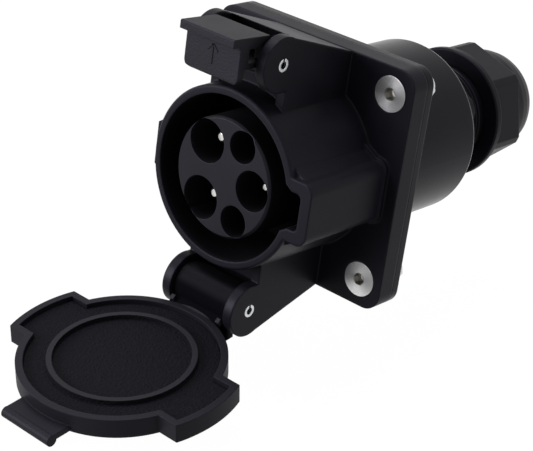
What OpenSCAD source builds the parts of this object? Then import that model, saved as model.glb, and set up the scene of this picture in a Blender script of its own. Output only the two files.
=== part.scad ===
/* [Flange] */
// Side of the square flange
flange_w = 67.2; // [66:0.1:74]
// Corner radius of the flange
flange_r = 5; // [3:0.5:7]
// Thickness of the housing flange
flange_t = 5.6; // [5:0.1:8]
// Thickness of the rear cover's own flange
cover_flange_t = 2.5; // [2:0.1:4]
// Spacing of the flange screws, both ways
screw_pitch = 52.4; // [52:0.1:54]
// Diameter of the flange screws
screw_d = 5; // [4:0.5:5]
// Head diameter of the flange screws
head_d = 9.6; // [9:0.1:10]
// Width across flats of the screw's hex socket
socket_af = 3; // [2.5:0.5:3]
// Width across flats of the flange nuts
nut_af = 8; // [8:0.5:9]
// Height of a flange nut
nut_h = 6.6; // [5:0.1:7]

/* [Nose] */
// Radius of the socket cavity
cavity_r = 22.1; // [22:0.1:22.4]
// Wall of the nose at its rim
nose_wall = 2.2; // [2:0.1:2.6]
// Length of the nose in front of the flange
nose_l = 30.4; // [30:0.1:33]
// Depth of the socket cavity
cavity_depth = 25; // [23:0.5:25]
// Radius of the contact core
core_r = 16.2; // [16:0.1:16.4]
// How far the core's face lies behind the rim
core_set = 0.4; // [0.2:0.1:1]
// Reach of the key notch from the axis
key_reach = 26.4; // [26:0.1:26.8]
// Half height of the key notch
key_half = 5; // [4.5:0.1:5.2]
// Reach of the key's outside bump
bump_reach = 29.6; // [29.2:0.1:29.8]
// Half height of the key's outside bump
bump_half = 8.4; // [8:0.1:8.6]
// Reach of the connector catch
catch_reach = 26.6; // [26.2:0.1:27]
// Half height of the connector catch
catch_half = 7.4; // [7:0.1:7.6]

/* [Contacts] */
// Diameter of the two line pins
line_d = 3.6; // [3.4:0.1:4]
// Diameter of the ground pin
ground_d = 2.8; // [2.6:0.1:3]
// Diameter of the two signal pins
signal_d = 1.5; // [1.4:0.1:1.8]
// Radius of the three power contact holes
power_hole_r = 5.9; // [5.6:0.1:6]
// Radius of the two signal contact holes
signal_hole_r = 4.3; // [4:0.1:4.4]
// Depth of the pin tips below the core's face
tip_depth = 5.2; // [4.8:0.1:8]

/* [Hinges] */
// Distance of both hinge pins in front of the flange face
pivot_y = 27; // [26.8:0.1:27.2]
// Height of both hinge pins from the axis
pivot_z = 33.9; // [33.8:0.1:34.2]
// Diameter of the roll pins
pin_d = 3.5; // [3:0.1:3.6]
// Half distance between the inner faces of two lugs
lug_gap = 9.7; // [9.6:0.1:10]
// Thickness of a lug
lug_t = 2.8; // [2.6:0.1:3.4]
// Radius of a lug's round end
lug_r = 7.3; // [7:0.1:7.4]
// Radius of the lid's hinge barrel
barrel_r = 6; // [5.6:0.1:6]

/* [Lid] */
// Angle of the lid from closed, as it stands
lid_angle = 100; // [95:1:105]
// Outside radius of the lid's rim
lid_r = 26.95; // [26.8:0.05:27.4]
// Wall of the lid's rim
lid_wall = 1.95; // [1.9:0.05:2.1]
// Whole height of the lid
lid_h = 5.9; // [5.8:0.1:6.2]
// How far the closed lid's rim reaches over the nose
lid_lap = 1.1; // [1:0.1:1.4]
// Reach of the lid's two ears
ear_reach = 32.4; // [32:0.1:33]
// Half height of the lid's two ears
ear_half = 11.1; // [11:0.1:11.5]
// Outside radius of the gasket's raised bead
bead_r = 19.3; // [19:0.1:19.6]
// Half width of the lid's tab
tab_half = 8.5; // [8:0.1:8.6]

/* [Latch] */
// Half width of the latch
latch_half = 9; // [8.8:0.1:9.2]
// Wall of the latch
latch_wall = 2; // [1.8:0.1:2.2]
// Height of the latch's lower edge from the axis
latch_low = 29.3; // [29:0.1:29.6]
// Overhang of the latch's finger ledge
ledge = 2.8; // [2:0.1:3.2]
// Height of the top of the latch
latch_top = 41.6; // [41.4:0.1:42]

/* [Rear] */
// How far the rear cover's radius is beyond the socket cavity's
cover_extra = 2.7; // [2.4:0.1:3]
// Wall of the rear cover
cover_wall = 2.2; // [2:0.1:2.6]
// Length of the rear cover behind its flange
cover_l = 39.5; // [38:0.5:46]
// Radius of the gland's thread
gland_r = 12; // [11:0.5:12]
// Radius of the gland's cable entry
entry_r = 8.5; // [7:0.5:8.5]
// Wall of the gland body outside its thread
gland_wall = 2.5; // [2:0.1:3]
// Wall of the gland nut at its flats
gland_nut_wall = 2.25; // [2:0.05:3]

/* [Clearances] */
// Gap between parts that are fixed together
fit = 0.1; // [0.05:0.05:0.15]
// Gap between parts that move past each other
play = 0.4; // [0.3:0.1:0.5]
// Radial clearance of a barrel on its pin
running = 0.05; // [0.03:0.01:0.08]

/* [Hidden] */
$fn = 64;
face_y = -flange_t - cover_flange_t;
rim_y = face_y - nose_l;
nose_r = cavity_r + nose_wall;
cover_r = cavity_r + cover_extra;
seal_r = cavity_r + 2.3;
seal_w = 2;
floor_y = rim_y + cavity_depth;
core_y = rim_y + core_set;
seat_y = face_y + 0.4;
tip_y = core_y + tip_depth;
pin_y = face_y - pivot_y;
lug_x = lug_gap + lug_t;
pin_r = pin_d / 2;
lid_rim_y = rim_y + lid_lap;
lid_out_y = lid_rim_y - lid_h;
gasket_y = rim_y - 0.25;
gasket_t = 1.5;
latch_front = lid_out_y - 4.4;
gland_af = 2 * (gland_r + gland_wall + gland_nut_wall);
gland_y = cover_l + 1.5;
gland_nut_y = gland_y + 17.3;
gland_end_y = gland_nut_y + 27;
hex_end_y = gland_nut_y + 15.8;
// Contact places on the core: x, z, pin radius, hole radius
line_1 = [-6.6, 7.9, line_d / 2, power_hole_r];
line_2 = [-6.6, -7.9, line_d / 2, power_hole_r];
ground = [10.2, 0, ground_d / 2, power_hole_r - 0.5];
pilot = [5.4, 10.3, signal_d / 2, signal_hole_r];
proximity = [5.4, -10.3, signal_d / 2, signal_hole_r];
contacts = [line_1, line_2, ground, pilot, proximity];

// Cylinder along +Y from y0 to y1
module rod(r, y0, y1, r2 = -1) {
    translate([0, y0, 0]) rotate([-90, 0, 0]) cylinder(r1 = r, r2 = r2 < 0 ? r : r2, h = y1 - y0);
}

// Ring along +Y
module ring(ro, ri, y0, y1) {
    difference() {
        rod(ro, y0, y1);
        rod(ri, y0 - 1, y1 + 1);
    }
}

// Hexagonal prism along +Y, by its width across flats
module hex(af, y0, y1, turn = 0) {
    translate([0, y0, 0]) rotate([-90, turn, 0]) cylinder(d = af / cos(30), h = y1 - y0, $fn = 6);
}

// Rounded rectangle, centred
module round_rect(w, h, r) {
    square([w - 2 * r, h], center = true);
    square([w, h - 2 * r], center = true);
    for (x = [-1, 1], z = [-1, 1]) translate([x * (w / 2 - r), z * (h / 2 - r)]) circle(r);
}

// Outline in X and Z, drawn out from y0 to y1
module slab(y0, y1) {
    translate([0, y1, 0]) rotate([90, 0, 0]) linear_extrude(y1 - y0) children();
}

// Side outline in Y and Z, drawn out from x0 to x1
module side(x0, x1) {
    translate([x0, 0, 0]) rotate([90, 0, 90]) linear_extrude(x1 - x0) children();
}

// Outline in r and y, turned about the inlet's axis
module turned() {
    rotate([-90, 0, 0]) rotate_extrude($fn = 96) children();
}

// One child at each flange screw
module at_screws() {
    for (x = [-1, 1], z = [-1, 1]) translate([x * screw_pitch / 2, 0, z * screw_pitch / 2]) children();
}

// Lid parts, drawn closed and swung open about the lower pin
module opened() {
    translate([0, pin_y, -pivot_z]) rotate([lid_angle, 0, 0]) translate([0, -pin_y, pivot_z]) children();
}

// Flange plate with its four screw holes
module flange_plate(y0, y1) {
    difference() {
        slab(y0, y1) round_rect(flange_w, flange_w, flange_r);
        at_screws() rod(screw_d / 2 + 0.25, y0 - 1, y1 + 1);
    }
}

// Pair of lugs and the web between them, above the axis; the lower pair is its mirror image
module lug_pair() {
    lug_back = face_y + 1;
    lug_foot = core_r + 2;
    lug_front = pin_y + 2.2;
    outline = [[lug_back, lug_foot], [lug_back, flange_w / 2 - 0.5], [pin_y + 0.8, pivot_z + lug_r - 0.05],
        [pin_y, pivot_z - lug_r + 0.1], [lug_front, pivot_z - lug_r + 0.1], [lug_front, lug_foot]];
    difference() {
        union() {
            side(-lug_x, lug_x) polygon(outline);
            for (x = [-lug_x, lug_gap]) side(x, x + lug_t) translate([pin_y, pivot_z]) circle(lug_r);
        }
        side(-lug_gap, lug_gap) {
            translate([pin_y, pivot_z]) circle(lug_r + 0.2);
            translate([pin_y - 20, lug_foot - 1]) square([21.6, 40]);
            translate([pin_y - 20, lug_foot - 1]) square([24, pivot_z - lug_foot]);
        }
        side(-lug_x - 1, lug_x + 1) translate([pin_y, pivot_z]) circle(pin_r + 0.02);
    }
}

// Slanted shoulders by which the bump over the key runs into the round nose
module bump_shoulders(grow) {
    reach = bump_reach + grow - 3.4;
    half = bump_half + grow;
    polygon([[core_r, -half - 5.5], [reach, -half + 0.3], [reach, half - 0.3], [core_r, half + 5.5]]);
}

module inlet_housing() color("#26282b") {
    difference() {
        union() {
            flange_plate(face_y, -cover_flange_t);
            turned() polygon([[0, face_y + 1], [nose_r + 0.9, face_y + 1], [nose_r + 0.5, face_y - 1],
                [nose_r, rim_y + 0.5], [nose_r - 0.5, rim_y], [0, rim_y]]);
            lug_pair();
            mirror([0, 0, 1]) lug_pair();
            // Outside bump over the key, and the fillets at its foot
            slab(rim_y, face_y + 1) translate([bump_reach / 2 + 5, 0])
                round_rect(bump_reach - 10, 2 * bump_half, 3);
            slab(lid_rim_y + 0.6, face_y + 1) bump_shoulders(0);
            slab(face_y - 1.5, face_y + 1) {
                translate([bump_reach / 2 + 5.4, 0]) round_rect(bump_reach - 10, 2 * bump_half + 1.4, 3);
                bump_shoulders(0.7);
            }
            // Catch that the connector's latch hooks behind
            slab(rim_y + 3, rim_y + 11) polygon([[-nose_r + 2, -catch_half - 1.5],
                [-catch_reach, -catch_half + 1.5], [-catch_reach, catch_half - 1.5], [-nose_r + 2, catch_half + 1.5]]);
        }
        rod(cavity_r, rim_y - 1, floor_y);
        slab(rim_y - 1, floor_y) {
            translate([key_reach / 2, 0]) round_rect(key_reach, 2 * key_half, 1.5);
            polygon([[core_r, -key_half - 4.5], [cavity_r + 1.3, -key_half + 0.1],
                [cavity_r + 1.3, key_half - 0.1], [core_r, key_half + 4.5]]);
        }
        rod(core_r + fit, rim_y, 0);
        rod(cavity_r - 0.3 + fit, seat_y, 0);
        at_screws() {
            rod(head_d / 2 + 0.1, face_y - 1, face_y + 0.2);
            rod(head_d / 2 + 0.1, face_y + 0.2, face_y + 2.6, screw_d / 2 + 0.2);
        }
        // Groove for the flange seal
        ring(seal_r + seal_w + 0.1, seal_r - 0.1, -cover_flange_t - 1.1, 1);
    }
}

module contact_carrier() color("#1f2123") difference() {
    union() {
        turned() polygon([[0, core_y], [core_r - 0.6, core_y], [core_r, core_y + 0.6], [core_r, seat_y + 1], [0, seat_y + 1]]);
        rod(cavity_r - 0.3, seat_y + fit, -cover_flange_t - 0.2);
    }
    for (c = contacts) translate([c[0], 0, c[1]]) {
        rod(c[3], core_y - 1, floor_y - 2);
        rod(c[2] + fit, core_y, 5);
        rod(c[2] + 1.4 + fit, seat_y + 1.2, 5);
    }
    for (x = [-1, 1]) translate([x * 16.5, 0, 0]) rod(1.2, seat_y + 2, 5);
}

// Contact pin with its collar and wire barrel
module contact(c) color("#c9c7c0") translate([c[0], 0, c[1]]) difference() {
    union() {
        turned() polygon([[0, tip_y], [c[2] * 0.55, tip_y], [c[2] * 0.9, tip_y + 0.5], [c[2], tip_y + 1.4],
            [c[2], seat_y + 3], [0, seat_y + 3]]);
        rod(c[2] + 1.4, seat_y + 2.9, -cover_flange_t - 0.4);
        rod(c[2] + 0.4, -cover_flange_t - 1, 12);
    }
    rod(c[2] - 0.2, 3, 13);
}
module line_pin_1() contact(line_1);
module line_pin_2() contact(line_2);
module ground_pin() contact(ground);
module pilot_pin() contact(pilot);
module proximity_pin() contact(proximity);

module pin_seals() color("#7a2f22") for (c = contacts) translate([c[0], 0, c[1]])
    ring(c[2] + 1.4, c[2] + 0.02, seat_y + 1.25, seat_y + 2.85);

module pin_retainer() color("#303236") difference() {
    rod(cavity_r - 1.5, -cover_flange_t - 0.15, 2);
    for (c = contacts) translate([c[0], 0, c[1]]) rod(c[2] + 0.4 + fit, -5, 5);
    for (x = [-1, 1]) translate([x * 16.5, 0, 0]) rod(1.6, -5, 5);
}

module retainer_screws() color("silver") for (x = [-1, 1]) translate([x * 16.5, 0, 0]) difference() {
    union() {
        rod(1.15, seat_y + 2.4, 2.1);
        rod(2.6, 2.02, 4);
    }
    slab(3, 5) square([6, 0.6], center = true);
    slab(3, 5) square([0.6, 6], center = true);
}

module flange_seal() color("#3a3a3a") ring(seal_r + seal_w, seal_r, -cover_flange_t - 1.05, -cover_flange_t - 0.05);

module rear_cover() color("#1b1c1f") difference() {
    union() {
        flange_plate(-cover_flange_t, 0);
        turned() polygon([[0, -0.5], [cover_r + 0.8, -0.5], [cover_r, 1.5], [cover_r, cover_l - 1.2],
            [cover_r - 0.35, cover_l - 0.35], [cover_r - 1.2, cover_l], [0, cover_l]]);
    }
    rod(cover_r - cover_wall, -cover_flange_t - 1, cover_l - 2.5);
    rod(gland_r + 0.2, 0, cover_l + 1);
}

module flange_screws() color("#b9bcc0") at_screws() difference() {
    union() {
        rod(head_d / 2, face_y, face_y + 0.3);
        rod(head_d / 2, face_y + 0.3, face_y + 2.6, screw_d / 2);
        rod(screw_d / 2, face_y + 2, nut_h + 0.8);
    }
    hex(socket_af, face_y - 1, face_y + 2.2);
}

module flange_nuts() color("silver") at_screws() difference() {
    union() {
        intersection() {
            hex(nut_af, 0.02, nut_h - 1.2);
            rod(nut_af / 2 + 0.45, 0, nut_h);
        }
        rod(nut_af / 2 - 0.15, nut_h - 1.3, nut_h - 0.5);
        rod(nut_af / 2 - 0.15, nut_h - 0.5, nut_h, nut_af / 2 - 0.9);
    }
    rod(screw_d / 2 + 0.02, -1, nut_h + 1);
}

// Outline of the lid: a disc with an ear to each side, made smaller by inset
module lid_outline(inset) {
    circle(lid_r - inset);
    intersection() {
        circle(ear_reach - inset);
        square([80, 2 * (ear_half - inset)], center = true);
    }
}

module lid() color("#2b2d2f") opened() difference() {
    union() {
        slab(lid_out_y + 0.8, lid_rim_y) lid_outline(0);
        slab(lid_out_y, lid_out_y + 1) lid_outline(0.8);
        // Arm and hinge barrel
        side(-lug_gap + play, lug_gap - play) {
            translate([pin_y, -pivot_z]) circle(barrel_r);
            polygon([[lid_out_y + 0.8, -lid_r + 3], [lid_out_y + 0.8, -pivot_z + 1], [pin_y - 4.2, -pivot_z - 4.2],
                [pin_y - 1, -pivot_z + barrel_r - 0.3], [lid_rim_y - 2, -lid_r + 3]]);
        }
        // Two stop nubs beside the barrel
        for (x = [-1, 1]) translate([x * (lug_gap - play - 1), lid_out_y + 1.6, -lid_r - 2.5]) cube([2, 3.2, 3], center = true);
        // Tab with a lip that the latch holds
        side(-tab_half, tab_half) {
            polygon([[lid_out_y + 0.8, lid_r - 3], [lid_out_y + 0.8, pivot_z - 2.6], [lid_out_y + 2.4, pivot_z - 2.6],
                [lid_out_y + 2.4, lid_r - 3]]);
            translate([lid_out_y + 1, pivot_z - 2.6]) circle(1.5);
        }
    }
    slab(gasket_y - gasket_t, lid_rim_y + 1) lid_outline(lid_wall);
    side(-lug_x, lug_x) translate([pin_y, -pivot_z]) circle(pin_r + running);
}

module lid_gasket() color("#34373a") opened() {
    slab(gasket_y - gasket_t + 0.02, gasket_y) lid_outline(lid_wall + fit);
    ring(bead_r, bead_r - 1.6, gasket_y - 0.5, lid_rim_y);
}

// Roll pin through a pair of lugs, with its slit
module roll_pin(z) translate([0, pin_y, z]) difference() {
    rotate([0, 90, 0]) cylinder(r = pin_r, h = 2 * lug_x, center = true);
    rotate([0, 90, 0]) cylinder(r = pin_r - 0.75, h = 2 * lug_x + 2, center = true);
    translate([-lug_x - 1, -0.3, 0]) cube([2 * lug_x + 2, 0.6, 5]);
}
module lid_hinge_pin() color("silver") roll_pin(-pivot_z);
module latch_pin() color("silver") roll_pin(pivot_z);

module latch() color("#292b2d") difference() {
    union() {
        side(-latch_half, latch_half) {
            // Top plate, front wall and hinge barrel
            polygon([[latch_front - ledge, latch_top - latch_wall - 0.2], [latch_front - ledge, latch_top - 0.3],
                [latch_front - ledge + 0.3, latch_top], [pin_y - 2.5, latch_top - 0.6],
                [pin_y - 2.5, latch_top - latch_wall - 0.6], [latch_front + 0.5, latch_top - latch_wall - 1.2],
                [latch_front, latch_top - latch_wall - 1.2], [latch_front - 0.4, latch_top - latch_wall - 0.5],
                [latch_front - 1, latch_top - latch_wall - 0.2]]);
            polygon([[latch_front, latch_low + 0.6], [latch_front, latch_top - 1], [latch_front + latch_wall, latch_top - 1],
                [latch_front + latch_wall, latch_low + 0.8], [latch_front + 0.6, latch_low]]);
            translate([pin_y, pivot_z]) circle(barrel_r - 1.8);
        }
        // Cheeks from the front wall back to the barrel
        for (x = [-latch_half, latch_half - latch_wall]) side(x, x + latch_wall)
            polygon([[latch_front + 1, pivot_z - 0.6], [latch_front + 1, latch_top - 1], [pin_y - 2.5, latch_top - 1.2],
                [pin_y + 3, pivot_z + 2.5], [pin_y, pivot_z - 0.6]]);
    }
    // Window in each cheek
    side(-latch_half - 1, latch_half + 1) translate([latch_front + 3.2, pivot_z + 0.8])
        square([4.4, latch_top - latch_wall - 1.2 - pivot_z - 0.8]);
    // Middle of the barrel, open for the spring
    side(-4, 4) translate([pin_y, pivot_z]) circle(barrel_r);
    side(-latch_half - 1, latch_half + 1) translate([pin_y, pivot_z]) circle(pin_r + running);
    // Rounded lower corners of the front wall
    for (x = [-1, 1]) slab(latch_front - 1, latch_front + 3) difference() {
        translate([x * latch_half, latch_low]) square(4, center = true);
        translate([x * (latch_half - 2), latch_low + 2]) circle(2);
        translate([x * (latch_half - 3), latch_low + 1]) square([2, 4], center = true);
    }
}

// Point on the spring: two legs and the coils between them, for t from 0 to 1
function spring_point(t) =
    t < 0.08 ? [-3.2, pin_y + 5 - 62.5 * t * 0.8, pivot_z - 2.9] :
    t > 0.92 ? [3.2, pin_y - (t - 0.92) * 62.5, pivot_z + 2.9] :
    let (u = (t - 0.08) / 0.84, a = -90 - u * 900)
        [-3.2 + 6.4 * u, pin_y + 2.9 * cos(a), pivot_z + 2.9 * sin(a)];
// Cross direction of the wire, level with the hinge axis
module latch_spring() color("#d0d0cc") {
    steps = 110;
    wire = 0.4;
    sides = 8;
    points = [for (i = [0:steps]) let (
        p = spring_point(i / steps),
        d = spring_point(min(1, (i + 0.5) / steps)) - spring_point(max(0, (i - 0.5) / steps)),
        w = d / norm(d), u0 = cross(w, [1, 0, 0]), u = u0 / norm(u0), v = cross(w, u))
        each [for (k = [0:sides - 1]) p + wire * (u * cos(360 * k / sides) + v * sin(360 * k / sides))]];
    faces = concat([[for (k = [0:sides - 1]) k]],
        [for (i = [0:steps - 1], k = [0:sides - 1]) let (n = (k + 1) % sides)
            [i * sides + k, (i + 1) * sides + k, (i + 1) * sides + n, i * sides + n]],
        [[for (k = [sides - 1:-1:0]) steps * sides + k]]);
    polyhedron(points, faces);
}

module gland_body() color("#222427") difference() {
    union() {
        rod(gland_r, cover_l - 10, gland_y + 1);
        intersection() {
            hex(gland_af, gland_y, gland_y + 8, 30);
            rod(gland_af / 2 + 1.6, gland_y, gland_y + 8);
        }
        rod(gland_r + gland_wall, gland_y + 7, gland_nut_y + 4);
    }
    rod(entry_r + 1, cover_l - 11, gland_nut_y + 5);
}

module gland_gasket() color("#141414") ring(gland_af / 2 - 0.25, gland_r + fit, cover_l, gland_y);

module gland_locknut() color("#2f3134") difference() {
    hex(2 * gland_r + 9, cover_l - 8.5, cover_l - 2.5);
    rod(gland_r + 0.02, cover_l - 10, cover_l);
}

module gland_clamp() color("#4a4d50") difference() {
    turned() polygon([[entry_r + 2.2, gland_nut_y + 4.1], [gland_r + gland_wall - fit, gland_nut_y + 4.1],
        [gland_r + gland_wall - fit, gland_nut_y + 8],
        [entry_r + 3.4, gland_nut_y + 15], [entry_r + 2.2, gland_nut_y + 15]]);
    for (k = [0:11]) rotate([0, 30 * k, 0]) translate([0, gland_nut_y + 6, -0.4]) cube([gland_r + 6, 12, 0.8]);
}

module gland_seal() color("#101010") ring(entry_r + 2.1, entry_r, gland_nut_y + 4.2, gland_nut_y + 17);

module gland_nut() color("#232528") difference() {
    corner_r = gland_af / 2 / cos(30);
    dome_r = gland_af / 2 - 0.4;
    mouth_r = entry_r + 2.2;
    bore_r = gland_r + gland_wall + fit;
    union() {
        // Collar and domed end, turned in one
        turned() polygon(concat([[0, gland_nut_y], [corner_r - 0.4, gland_nut_y], [corner_r, gland_nut_y + 0.4],
            [corner_r, gland_nut_y + 2.2], [dome_r, gland_nut_y + 2.2]],
            [for (t = [0:15:90]) [mouth_r + 0.8 + (dome_r - mouth_r - 0.8) * cos(t),
                hex_end_y + (gland_end_y - hex_end_y) * sin(t)]],
            [[0, gland_end_y]]));
        intersection() {
            hex(gland_af, gland_nut_y + 1, hex_end_y - 0.5, 17);
            rod(corner_r - 0.6, gland_nut_y, hex_end_y + 1);
        }
    }
    // Bore: thread, cone that closes the clamp, and mouth
    turned() polygon([[0, gland_nut_y - 1], [bore_r, gland_nut_y - 1], [bore_r, gland_nut_y + 9],
        [mouth_r + 1.4, gland_nut_y + 16], [mouth_r, gland_nut_y + 16], [mouth_r, gland_end_y + 1], [0, gland_end_y + 1]]);
}

inlet_housing();
contact_carrier();
line_pin_1();
line_pin_2();
ground_pin();
pilot_pin();
proximity_pin();
pin_seals();
pin_retainer();
retainer_screws();
flange_seal();
rear_cover();
flange_screws();
flange_nuts();
lid();
lid_gasket();
lid_hinge_pin();
latch();
latch_pin();
latch_spring();
gland_body();
gland_gasket();
gland_locknut();
gland_seal();
gland_clamp();
gland_nut();
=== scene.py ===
import math
import bpy
from mathutils import Matrix, Vector


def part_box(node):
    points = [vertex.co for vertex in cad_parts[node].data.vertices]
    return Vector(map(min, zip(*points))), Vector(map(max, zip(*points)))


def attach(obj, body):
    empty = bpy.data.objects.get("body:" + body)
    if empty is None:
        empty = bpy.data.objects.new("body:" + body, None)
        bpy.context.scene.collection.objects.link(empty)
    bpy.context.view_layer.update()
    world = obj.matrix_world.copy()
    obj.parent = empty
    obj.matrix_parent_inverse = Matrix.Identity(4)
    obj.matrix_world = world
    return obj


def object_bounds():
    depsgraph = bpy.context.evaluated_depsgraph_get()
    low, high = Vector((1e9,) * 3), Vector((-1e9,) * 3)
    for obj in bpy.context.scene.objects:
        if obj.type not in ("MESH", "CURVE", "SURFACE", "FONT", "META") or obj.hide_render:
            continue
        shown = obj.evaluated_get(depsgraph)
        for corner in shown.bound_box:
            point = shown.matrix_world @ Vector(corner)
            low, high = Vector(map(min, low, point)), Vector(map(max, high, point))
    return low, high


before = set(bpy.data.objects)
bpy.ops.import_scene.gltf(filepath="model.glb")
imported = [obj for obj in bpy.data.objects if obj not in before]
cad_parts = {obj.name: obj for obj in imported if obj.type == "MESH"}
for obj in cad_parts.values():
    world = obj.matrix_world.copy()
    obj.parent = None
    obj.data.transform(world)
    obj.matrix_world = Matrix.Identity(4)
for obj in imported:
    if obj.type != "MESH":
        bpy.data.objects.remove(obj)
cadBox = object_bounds()
scene = bpy.context.scene
mm = 0.001
print("frame loaded:", len(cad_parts), "nodes")


class Sock:
    # a shader socket that takes part in sums
    def __init__(self, tree, out):
        self.tree = tree
        self.out = out

    def sum(self, operation, a, b):
        node = self.tree.nodes.new("ShaderNodeMath")
        node.operation = operation
        for socket, value in zip(node.inputs, (a, b)):
            plug(self.tree, value, socket)
        return Sock(self.tree, node.outputs[0])

    def __add__(self, other):
        return self.sum("ADD", self, other)

    def __radd__(self, other):
        return self.sum("ADD", other, self)

    def __sub__(self, other):
        return self.sum("SUBTRACT", self, other)

    def __rsub__(self, other):
        return self.sum("SUBTRACT", other, self)

    def __mul__(self, other):
        return self.sum("MULTIPLY", self, other)

    def __rmul__(self, other):
        return self.sum("MULTIPLY", other, self)

    def __pow__(self, other):
        return self.sum("POWER", self, other)


def plug(tree, value, socket):
    if isinstance(value, Sock):
        tree.links.new(value.out, socket)
    else:
        socket.default_value = value


class Finish:
    # one material or sky, with its shader ready
    def __init__(self, name, kind="materials", shader="Principled BSDF"):
        self.material = getattr(bpy.data, kind).new(name)
        self.material.use_nodes = True
        self.tree = self.material.node_tree
        self.shader = self.tree.nodes[shader]

    def set(self, **values):
        for key, value in values.items():
            plug(self.tree, value, self.shader.inputs[key.replace("_", " ")])

    def node(self, kind, settings=None, inputs=None, out=0):
        made = self.tree.nodes.new(kind)
        for key, value in (settings or {}).items():
            setattr(made, key, value)
        for key, value in (inputs or {}).items():
            plug(self.tree, value, made.inputs[key])
        return Sock(self.tree, made.outputs[out])

    def outputs(self, made, names):
        # several outputs of one node
        return [Sock(self.tree, made.out.node.outputs[name]) for name in names]

    def maths(self, operation, *values, clamp=False):
        settings = {"operation": operation, "use_clamp": clamp}
        return self.node("ShaderNodeMath", settings, dict(enumerate(values)))

    def blend(self, factor, second):
        # the shader gives way to the second one by the factor
        first = Sock(self.tree, self.shader.outputs[0])
        mixed = self.node("ShaderNodeMixShader", {}, {0: factor, 1: first, 2: second})
        output = next(n for n in self.tree.nodes if n.bl_idname.startswith("ShaderNodeOutput"))
        plug(self.tree, mixed, output.inputs["Surface"])

    def place(self):
        # the row frame, in millimetres
        coords = self.node("ShaderNodeTexCoord", out="Object")
        return self.node("ShaderNodeVectorMath", {"operation": "SCALE"}, {0: coords, "Scale": 1 / mm})

    def noise(self, place, scale, detail):
        return self.node("ShaderNodeTexNoise", {}, {"Vector": place, "Scale": scale, "Detail": detail}, "Fac")

    def tint(self, factor, low, high):
        # sockets 6 and 7, and output 2, are the Mix node's colours
        low, high = (c if isinstance(c, Sock) else (*c, 1) for c in (low, high))
        return self.node("ShaderNodeMix", {"data_type": "RGBA"}, {0: factor, 6: low, 7: high}, 2)

    def relief(self, height, depth, edge):
        # bumps over softly rounded edges
        rounded = self.node("ShaderNodeBevel", {"samples": 6}, {"Radius": edge * mm})
        return self.node("ShaderNodeBump", {}, {"Strength": 1.0, "Distance": depth * mm,
                                                "Height": height, "Normal": rounded})

    def fade(self, value, span):
        # 0 below nought, 1 above the span
        return self.maths("MULTIPLY", value, 1 / span, clamp=True)

    def split(self, place):
        return self.outputs(self.node("ShaderNodeSeparateXYZ", {}, {0: place}), "XYZ")

    def shut(self, place, look):
        # where a point of the open lid is once the lid is turned shut
        inputs = {"Vector": place, "Center": look["pivot"], "Angle": -math.radians(look["angle"])}
        return self.split(self.node("ShaderNodeVectorRotate", {"rotation_type": "X_AXIS"}, inputs))

    def paintedWellShade(self, place, look):
        # painted shade: 1 in the depth of the socket, where no light comes, and 0 at its mouth and outside
        x, y, z = self.split(place)
        depth = self.fade(y - look["mouth"], look["fade"])
        bore = self.maths("LESS_THAN", x * x + z * z, look["radius"] ** 2)
        notch = self.maths("LESS_THAN", z * z, look["notchHalf"] ** 2)
        reach = self.maths("GREATER_THAN", x, 0.0) * self.maths("LESS_THAN", x, look["notchReach"])
        return depth * self.maths("MAXIMUM", bore, notch * reach)

    def hinge(self, place, look):
        # painted shade masks: the lid's arm and barrel, which lie outside its round rim, and then the arm
        # alone
        x, _, z = self.shut(place, lidSwing)
        outside = self.maths("GREATER_THAN", x * x + z * z, look["radius"] ** 2)
        both = outside * self.maths("LESS_THAN", z, look["below"])
        return both, both * self.fade(z - look["barrel"], look["fade"])

    def seen(self):
        # 1 for what the camera sees, also mirrored in metal or through glass
        rays = ("Is Camera Ray", "Is Glossy Ray", "Is Transmission Ray")
        camera, glossy, through = self.outputs(self.node("ShaderNodeLightPath"), rays)
        return self.maths("MAXIMUM", camera, self.maths("MAXIMUM", glossy, through))


# the lid stands open by this angle about its pin, in millimetres and degrees
lidSwing = {"pivot": (0, -35.1, -33.9), "angle": 100}

# moulded plastics and rubbers: scales are per millimetre, depths and edges in millimetres
mouldedLook = {"cloudDetail": 3.0, "grainDetail": 2.0, "grainRough": 0.08, "shineTint": (0.88, 0.85, 1, 1)}


def plasticFinish(name, look):
    finish = Finish(name)
    place = finish.place()
    cloud = finish.noise(place, look["cloudScale"], mouldedLook["cloudDetail"])
    grain = finish.noise(place, look["grainScale"], mouldedLook["grainDetail"])
    colour = finish.tint(cloud, look["dark"], look["light"])
    rough = look["rough"] + (cloud - 0.5) * look["roughSpan"] + (grain - 0.5) * mouldedLook["grainRough"]
    # painted shade darkens the depth of the socket
    if "paintedWellShade" in look:
        paintedDepthShade = finish.paintedWellShade(place, look["paintedWellShade"])
        colour = finish.tint(paintedDepthShade, colour, look["paintedWellShade"]["colour"])
        rough = rough + paintedDepthShade * look["paintedWellShade"]["rougher"]
    # painted shade darkens the lid's arm and barrel beside the hinge
    if "hinge" in look:
        hinge, paintedArmShade = finish.hinge(place, look["hinge"])
        colour = finish.tint(hinge, colour, look["hinge"]["colour"])
        # painted shade: the arm lies in shade, so it gets a dark matte shader that gives no shine
        paintedShadeMatte = finish.node("ShaderNodeBsdfDiffuse", {}, {"Color": (*look["hinge"]["paintedArmShade"], 1)})
        finish.blend(paintedArmShade, paintedShadeMatte)
    finish.set(Base_Color=colour, Roughness=rough,
               Normal=finish.relief(grain, look["grainDepth"], look["edge"]),
               Specular_IOR_Level=look["specular"], Specular_Tint=mouldedLook["shineTint"])
    return finish.material


# painted shade in the depth of the contact socket: a dark colour there, and a rougher surface
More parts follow.
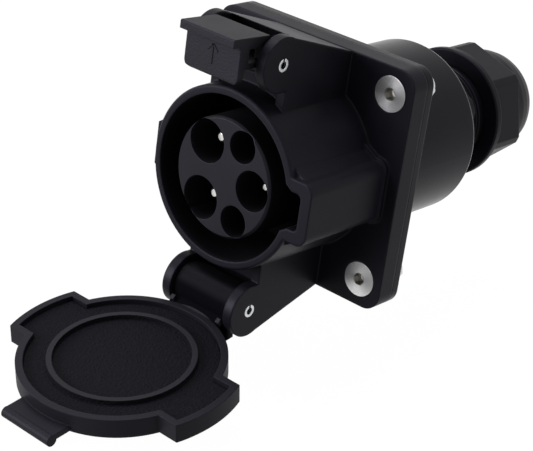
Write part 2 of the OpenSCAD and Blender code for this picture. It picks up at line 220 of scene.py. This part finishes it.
socketPaintedShade = {"mouth": -38.0, "fade": 1.4, "radius": 22.7, "notchHalf": 5.4, "notchReach": 26.8,
              "colour": (0.0006, 0.0006, 0.0009), "rougher": 0.4}
# painted shade on the lid's arm and barrel: a dark colour for both, and a dark matte colour for the arm
paintedHingeShadeLook = {"radius": 27.0, "below": -24.0, "barrel": -31.6, "fade": 3.2,
             "colour": (0.0008, 0.0008, 0.0012), "paintedArmShade": (0.0030, 0.0029, 0.0038)}
housingLook = {"dark": (0.0048, 0.0045, 0.0064), "light": (0.0072, 0.0068, 0.0092),
               "cloudScale": 0.08, "grainScale": 2.2, "grainDepth": 0.018, "rough": 0.42, "roughSpan": 0.14,
               "edge": 0.8, "specular": 0.08, "paintedWellShade": socketPaintedShade}
carrierLook = {"dark": (0.0052, 0.0050, 0.0068), "light": (0.0074, 0.0071, 0.0092),
               "cloudScale": 0.08, "grainScale": 2.2, "grainDepth": 0.012, "rough": 0.4, "roughSpan": 0.1,
               "edge": 0.3, "specular": 0.12, "paintedWellShade": socketPaintedShade}
grainedLook = {"dark": (0.0050, 0.0048, 0.0064), "light": (0.0085, 0.0082, 0.0105),
               "cloudScale": 0.1, "grainScale": 3.2, "grainDepth": 0.05, "rough": 0.52, "roughSpan": 0.12,
               "edge": 0.4, "specular": 0.09, "hinge": paintedHingeShadeLook}
latchLook = {"dark": (0.0036, 0.0035, 0.0046), "light": (0.0078, 0.0075, 0.0094),
             "cloudScale": 0.1, "grainScale": 3.2, "grainDepth": 0.09, "rough": 0.5, "roughSpan": 0.12,
             "edge": 0.35, "specular": 0.13}
glossLook = {"dark": (0.0030, 0.0029, 0.0040), "light": (0.0044, 0.0043, 0.0056),
             "cloudScale": 0.06, "grainScale": 0.5, "grainDepth": 0.01, "rough": 0.22, "roughSpan": 0.1,
             "edge": 0.5, "specular": 0.09}
glandLook = {"dark": (0.0040, 0.0038, 0.0052), "light": (0.0065, 0.0063, 0.0082),
             "cloudScale": 0.1, "grainScale": 2.0, "grainDepth": 0.02, "rough": 0.36, "roughSpan": 0.14,
             "edge": 0.5, "specular": 0.07}
rubberLook = {"dark": (0.008, 0.008, 0.008), "light": (0.014, 0.014, 0.014),
              "cloudScale": 0.3, "grainScale": 2.5, "grainDepth": 0.03, "rough": 0.7, "roughSpan": 0.1,
              "edge": 0.2, "specular": 0.3}
siliconeLook = {"dark": (0.16, 0.035, 0.02), "light": (0.22, 0.05, 0.03),
                "cloudScale": 0.3, "grainScale": 2.5, "grainDepth": 0.02, "rough": 0.55, "roughSpan": 0.1,
                "edge": 0.2, "specular": 0.4}
arrowPlasticLook = {**latchLook, "edge": 0.05, "light": latchLook["dark"]}

housingPlastic = plasticFinish("satinHousingPlastic", housingLook)
carrierPlastic = plasticFinish("satinCarrierPlastic", carrierLook)
grainedPlastic = plasticFinish("grainedLidPlastic", grainedLook)
latchPlastic = plasticFinish("grainedLatchPlastic", latchLook)
arrowPlastic = plasticFinish("raisedArrowPlastic", arrowPlasticLook)
glossPlastic = plasticFinish("glossCoverPlastic", glossLook)
glandPlastic = plasticFinish("glandNylon", glandLook)
blackRubber = plasticFinish("blackSealRubber", rubberLook)
redSilicone = plasticFinish("contactSealSilicone", siliconeLook)

# foam of the lid's gasket, with its smooth bead, whose lighter colour is a painted highlight
foamLook = {"dark": (0.0002, 0.0002, 0.0008), "light": (0.0070, 0.0067, 0.0092),
            "cellScale": 1.5, "cellShare": 0.5, "fuzzScale": 1.7, "fuzzDetail": 4.0, "depth": 0.3,
            "rough": 0.78, "roughSpan": 0.1, "edge": 0.35, "specular": 0.06,
            "bead": (0.0125, 0.0122, 0.0150), "beadRadius": 18.5, "beadHalf": 0.72,
            "beadSmooth": 0.85, "beadShine": 0.25}


def foamFinish(name, look):
    finish = Finish(name)
    place = finish.place()
    cells = finish.node("ShaderNodeTexVoronoi", {}, {"Vector": place, "Scale": look["cellScale"]}, "Distance")
    fuzz = finish.noise(place, look["fuzzScale"], look["fuzzDetail"])
    # the bead is a ring about the lid's axis, found with the lid turned shut
    x, _, z = finish.shut(place, lidSwing)
    apart = (x * x + z * z) ** 0.5 - look["beadRadius"]
    bead = finish.maths("LESS_THAN", apart * apart, look["beadHalf"] ** 2)
    height = (cells * look["cellShare"] + fuzz) * (1 - look["beadSmooth"] * bead)
    speckle = finish.tint(fuzz, look["dark"], look["light"])
    # the bead's lighter colour is a painted highlight on its top
    finish.set(Base_Color=finish.tint(bead, speckle, look["bead"]),
               Roughness=look["rough"] + (fuzz - 0.5) * look["roughSpan"] - bead * look["beadShine"],
               Normal=finish.relief(height, look["depth"], look["edge"]),
               Specular_IOR_Level=look["specular"])
    return finish.material


gasketFoam = foamFinish("lidGasketFoam", foamLook)

# bright metals
steelLook = {"dark": (0.50, 0.51, 0.52), "light": (0.68, 0.69, 0.70), "cloudScale": 0.8, "cloudDetail": 3.0,
             "rough": 0.26, "roughSpan": 0.12, "grainDepth": 0.01, "edge": 0.25}
silverLook = {"dark": (0.66, 0.65, 0.62), "light": (0.80, 0.79, 0.76), "cloudScale": 0.8, "cloudDetail": 3.0,
              "rough": 0.2, "roughSpan": 0.1, "grainDepth": 0.008, "edge": 0.15}


def metalFinish(name, look):
    finish = Finish(name)
    cloud = finish.noise(finish.place(), look["cloudScale"], look["cloudDetail"])
    finish.set(Base_Color=finish.tint(cloud, look["dark"], look["light"]), Metallic=1.0,
               Roughness=look["rough"] + (cloud - 0.5) * look["roughSpan"],
               Normal=finish.relief(cloud, look["grainDepth"], look["edge"]))
    return finish.material


zincSteel = metalFinish("brightSteel", steelLook)
silverPlate = metalFinish("silverPlatedContact", silverLook)

# turned heads of the flange screws; pitch is the distance between neighbouring screws
# the head's two bright sectors and the bright floor of its hole are painted highlights, and the dark walls of
# the hole are painted shade
screwLook = {"dark": (0.34, 0.34, 0.34), "light": (0.86, 0.86, 0.85), "pitch": 52.4,
             "ringStep": 0.3, "ringDepth": 0.012, "ringShine": 0.12, "ringRough": 0.05,
             "paintedSectorStrength": 0.75, "leastShine": 0.12, "axisGap": 0.05, "rough": 0.3, "edge": 0.15,
             "hole": (0.24, 0.235, 0.22), "holeRadius": 1.78,
             "floor": (0.95, 0.93, 0.86), "floorRadius": 0.95}


def turnedFinish(name, look):
    # lathe rings about each of the four screw axes
    finish = Finish(name)
    x, _, z = finish.split(finish.place())
    across, upward = (finish.maths("ABSOLUTE", part) - look["pitch"] / 2 for part in (x, z))
    radius = (across * across + upward * upward) ** 0.5
    rings = finish.maths("SINE", radius * (2 * math.pi / look["ringStep"]))
    # painted highlight: turned faces shine in two opposite sectors
    paintedSector = upward * upward * finish.maths("DIVIDE", 1.0, radius * radius + look["axisGap"])
    paintedSheenWithRings = paintedSector * look["paintedSectorStrength"] + rings * look["ringShine"] + look["leastShine"]
    colour = finish.tint(paintedSheenWithRings, look["dark"], look["light"])
    for part in ("hole", "floor"):
        # painted shade on the walls of the key's hole and a painted glint on its floor
        inside = finish.maths("LESS_THAN", radius, look[part + "Radius"])
        colour = finish.tint(inside, colour, look[part])
    finish.set(Base_Color=colour, Metallic=1.0, Roughness=look["rough"] + rings * look["ringRough"],
               Normal=finish.relief(rings * 0.5 + 0.5, look["ringDepth"], look["edge"]))
    return finish.material


turnedSteel = turnedFinish("turnedScrewSteel", screwLook)

finishes = {
    "inlet_housing": housingPlastic, "contact_carrier": carrierPlastic, "pin_retainer": glandPlastic,
    "line_pin_1": silverPlate, "line_pin_2": silverPlate, "ground_pin": silverPlate,
    "pilot_pin": silverPlate, "proximity_pin": silverPlate, "pin_seals": redSilicone,
    "retainer_screws": zincSteel, "flange_seal": blackRubber, "rear_cover": glossPlastic,
    "flange_screws": turnedSteel, "flange_nuts": zincSteel, "lid": grainedPlastic,
    "lid_gasket": gasketFoam, "lid_hinge_pin": zincSteel, "latch": latchPlastic, "latch_pin": zincSteel,
    "latch_spring": zincSteel, "gland_body": glandPlastic, "gland_gasket": blackRubber,
    "gland_locknut": glandPlastic, "gland_seal": blackRubber, "gland_clamp": glandPlastic,
    "gland_nut": glandPlastic,
}
for name, material in finishes.items():
    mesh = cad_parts[name].data
    mesh.materials.clear()
    mesh.materials.append(material)
print("finishes:", len(finishes))


def newPiece(name, points, faces, material, body):
    mesh = bpy.data.meshes.new(name)
    mesh.from_pydata([Vector(p) * mm for p in points], [], faces)
    mesh.update()
    mesh.materials.append(material)
    piece = bpy.data.objects.new(name, mesh)
    scene.collection.objects.link(piece)
    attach(piece, body)


def nodeSpan(name, axis):
    low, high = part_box(name)
    return low[axis] / mm, high[axis] / mm


def boxFaces(first):
    # the six sides of a block whose eight corners start at the first one
    sides = ((0, 1, 2, 3), (7, 6, 5, 4), (0, 4, 5, 1), (1, 5, 6, 2), (2, 6, 7, 3), (3, 7, 4, 0))
    return [tuple(first + corner for corner in side) for side in sides]


# thread of the gland, on the stretch between its hexagon and its nut; foot and crest are shares of the pitch
threadLook = {"pitch": 1.5, "height": 0.5, "root": 14.45, "sides": 96, "long": 13.3, "startGap": 0.8,
              "spare": 0.6, "runOut": 24, "leastHeight": 0.1, "footHalf": 0.45, "crestHalf": 0.12}


def glandThread(look):
    nutFront = nodeSpan("gland_nut", 1)[0]
    hexEnd = nodeSpan("gland_body", 1)[1] - look["long"]
    turns = int((nutFront - hexEnd - look["spare"]) / look["pitch"])
    count = turns * look["sides"]
    section = ((0, -look["footHalf"]), (look["height"], -look["crestHalf"]),
               (look["height"], look["crestHalf"]), (0, look["footHalf"]))
    points, faces = [], []
    for i in range(count + 1):
        angle = 2 * math.pi * i / look["sides"]
        fade = max(look["leastHeight"], min(1, i / look["runOut"], (count - i) / look["runOut"]))
        middle = hexEnd + look["startGap"] + look["pitch"] * i / look["sides"]
        for out, along in section:
            r = look["root"] + out * fade
            points.append((r * math.cos(angle), middle + along * look["pitch"], r * math.sin(angle)))
    for i in range(count):
        for k in range(4):
            a, b = 4 * i + k, 4 * i + (k + 1) % 4
            faces.append((b, b + 4, a + 4, a))
    faces += [(3, 2, 1, 0), tuple(4 * count + k for k in range(4))]
    newPiece("glandThread", points, faces, glandPlastic, "inlet")


# plain arrow raised on the latch's front wall: lift here
arrowLook = {"tall": 5.2, "head": 1.7, "stroke": 0.5, "proud": 0.15, "sunk": 0.05,
             "height": 35.0, "ledge": 2.8}


def latchArrow(look):
    front = nodeSpan("latch", 1)[0] + look["ledge"]
    low = look["height"] - look["tall"] / 2
    tip = look["height"] + look["tall"] / 2
    strokes = [((0, low), (0, tip)), ((0, tip), (-look["head"], tip - look["head"])),
               ((0, tip), (look["head"], tip - look["head"]))]
    points, faces = [], []
    for start, end in strokes:
        start, end = Vector(start), Vector(end)
        run = end - start
        across = Vector((-run.y, run.x)).normalized() * look["stroke"] / 2
        faces += boxFaces(len(points))
        for y in (front - look["proud"], front + look["sunk"]):
            points += [(c.x, y, c.y) for c in (start - across, end - across, end + across, start + across)]
    newPiece("latchArrow", points, faces, arrowPlastic, "latch_body")


# two small nubs at the ends of the lid's arm, placed with the lid shut and then turned open
nubLook = {"x": 8.3, "y": -37.0, "z": -26.9, "half": 0.95, "taper": 0.3, "sunk": 0.5, "proud": 1.0,
           "along": (0, -0.613, 0.79), "out": (0, 0.79, 0.613)}


def lidNubs(look):
    pivot = Vector(lidSwing["pivot"])
    turn = Matrix.Rotation(math.radians(lidSwing["angle"]), 3, "X")
    along, out = Vector(look["along"]), Vector(look["out"])
    foot = (-look["sunk"], look["half"])
    top = (look["proud"], look["half"] - look["taper"])
    points, faces = [], []
    for side in (-1, 1):
        middle = Vector((side * look["x"], look["y"], look["z"]))
        faces += boxFaces(len(points))
        for rise, half in (foot, top):
            for a, b in ((-1, -1), (1, -1), (1, 1), (-1, 1)):
                shut = middle + Vector((a * half, 0, 0)) + along * (b * half) + out * rise
                points.append(pivot + turn @ (shut - pivot))
    newPiece("lidNubs", points, faces, latchPlastic, "lid_body")


glandThread(threadLook)
latchArrow(arrowLook)
lidNubs(nubLook)
print("added pieces built")

# studio: white floor that keeps the part's shadow, a pale sky and soft lamps, in metres and watts
floorLook = {"size": 30.0, "gap": 0.0002, "colour": (0.36, 0.355, 0.40, 1), "rough": 0.9, "specular": 0.1,
             "glow": 0.95, "white": 1.04}
skyLook = {"colour": (0.94, 0.93, 1, 1), "strength": 0.24, "white": 1.0}
lampColour = (0.95, 0.94, 1)
lampLooks = {
    "topSoftbox": {"place": (-0.3, -0.05, 1.2), "aim": (0, 0, 0), "size": (0.8, 0.8), "power": 15.5},
    "leftSoftbox": {"place": (-0.75, -1.1, 0.3), "aim": (0, 0, 0), "size": (1.1, 0.8), "power": 30},
    "rightStrip": {"place": (1.1, 0.25, 0.6), "aim": (0, 0.02, 0), "size": (0.35, 1.0), "power": 2.5},
}


def paleFloor(look):
    low = cadBox[0][2] - look["gap"]
    half = look["size"] / 2
    corners = [(-half, -half, low), (half, -half, low), (half, half, low), (-half, half, low)]
    mesh = bpy.data.meshes.new("paleFloor")
    mesh.from_pydata(corners, [], [(0, 1, 2, 3)])
    finish = Finish("paleFloor")
    finish.set(Base_Color=look["colour"], Roughness=look["rough"], Specular_IOR_Level=look["specular"])
    white = finish.node("ShaderNodeEmission", {}, {"Color": (1, 1, 1, 1), "Strength": look["white"]})
    finish.blend(finish.seen() * look["glow"], white)
    mesh.materials.append(finish.material)
    floor = bpy.data.objects.new("paleFloor", mesh)
    scene.collection.objects.link(floor)


def paleSky(look):
    # white to the camera, dimmer as a light
    sky = Finish("studioSky", "worlds", "Background")
    sky.set(Color=look["colour"], Strength=look["strength"])
    white = sky.node("ShaderNodeBackground", {}, {"Color": (1, 1, 1, 1), "Strength": look["white"]})
    sky.blend(sky.seen(), white)
    scene.world = sky.material


def softLamp(name, look):
    lamp = bpy.data.lights.new(name, "AREA")
    lamp.shape = "RECTANGLE"
    lamp.size, lamp.size_y = look["size"]
    lamp.energy = look["power"]
    lamp.color = lampColour
    holder = bpy.data.objects.new(name, lamp)
    holder.location = look["place"]
    beam = Vector(look["aim"]) - Vector(look["place"])
    holder.rotation_euler = beam.to_track_quat("-Z", "Y").to_euler()
    scene.collection.objects.link(holder)


paleFloor(floorLook)
paleSky(skyLook)
for name, look in lampLooks.items():
    softLamp(name, look)
print("studio lit")

# camera fitted to the photograph: place and sensor in millimetres, and its right and forward directions
cameraLook = {"place": (253.88, -334.73, 159.99), "right": (0.7381, 0.6625, 0.1279),
              "forward": (-0.572, 0.7149, -0.4022), "focalPixels": 1647.7, "imageWidth": 533,
              "sensor": 36.0, "nearest": 0.01}


def photoCamera(look):
    data = bpy.data.cameras.new("photoCamera")
    data.sensor_fit = "HORIZONTAL"
    data.sensor_width = look["sensor"]
    data.lens = look["focalPixels"] / look["imageWidth"] * look["sensor"]
    data.clip_start = look["nearest"]
    camera = bpy.data.objects.new("photoCamera", data)
    right = Vector(look["right"]).normalized()
    back = -Vector(look["forward"]).normalized()
    up = back.cross(right).normalized()
    right = up.cross(back)
    turn = Matrix((right, up, back)).transposed().to_4x4()
    camera.matrix_world = Matrix.Translation(Vector(look["place"]) * mm) @ turn
    scene.collection.objects.link(camera)
    scene.camera = camera


photoCamera(cameraLook)
scene.view_settings.view_transform = "Standard"
print("camera set")
